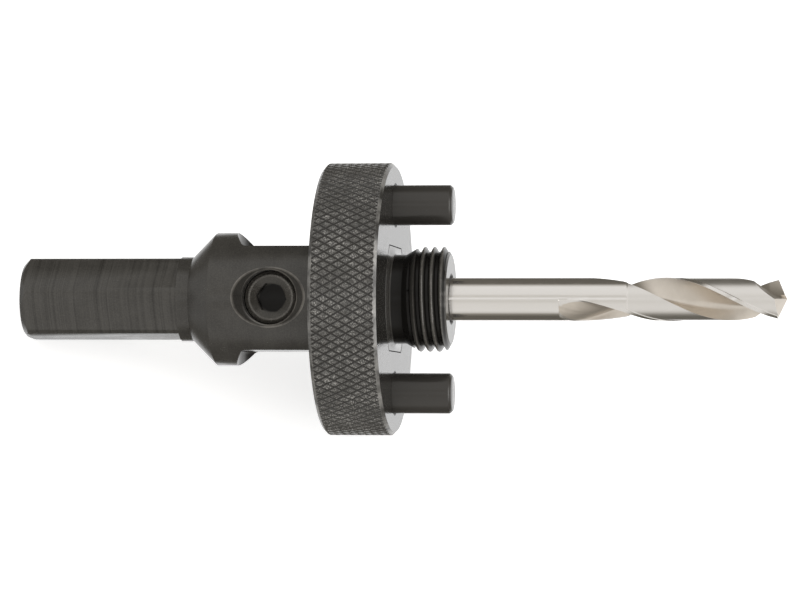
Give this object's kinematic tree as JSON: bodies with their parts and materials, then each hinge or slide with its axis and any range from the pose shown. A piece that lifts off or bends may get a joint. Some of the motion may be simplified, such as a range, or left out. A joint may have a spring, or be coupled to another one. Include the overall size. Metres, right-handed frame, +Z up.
{
  "type": "hole saw arbor",
  "caption": "Hexagon-shank arbor with a sliding knurled drive collar, drive pins, a threaded nose and a pilot drill held by a set screw.",
  "frame": {"origin": "centre of the bounding box on the surface that the arbor lies on", "axes": "+X towards the drill's point along the surface, +Z up; the arbor's own axis rises towards the point by 17.53 degrees"},
  "size_m": [0.1102, 0.0404, 0.0414],
  "materials": {
    "body_oxide": "black oxide over turned and milled steel, satin",
    "collar_oxide": "black oxide over knurled steel",
    "pin_oxide": "black oxide over ground steel, smooth",
    "screw_oxide": "black oxide, satin",
    "ground_steel": "ground bright, with fine grinding lines in the flutes",
    "bearing_steel": "polished steel",
    "spring_steel": "drawn wire"
  },
  "bodies": {
    "arbor": {"arbor_body": "body_oxide", "detent_ball": "bearing_steel", "detent_spring": "spring_steel"},
    "collar": {"drive_collar": "collar_oxide", "drive_pin_1": "pin_oxide", "drive_pin_2": "pin_oxide"},
    "pilot": {"pilot_drill": "ground_steel"},
    "screw": {"set_screw": "screw_oxide"}
  },
  "joints": [
    {"name": "collar_slide", "type": "slide", "parent": "arbor", "child": "collar", "axis": [0.9535, 0, 0.3013], "range_m": [-0.0115, 0]},
    {"name": "pilot_slide", "type": "slide", "parent": "arbor", "child": "pilot", "axis": [0.9535, 0, 0.3013], "range_m": [0, 0.03]},
    {"name": "screw_travel", "type": "slide", "parent": "arbor", "child": "screw", "axis": [-0.2341, -0.6293, 0.741], "range_m": [0, 0.0018]}
  ]
}
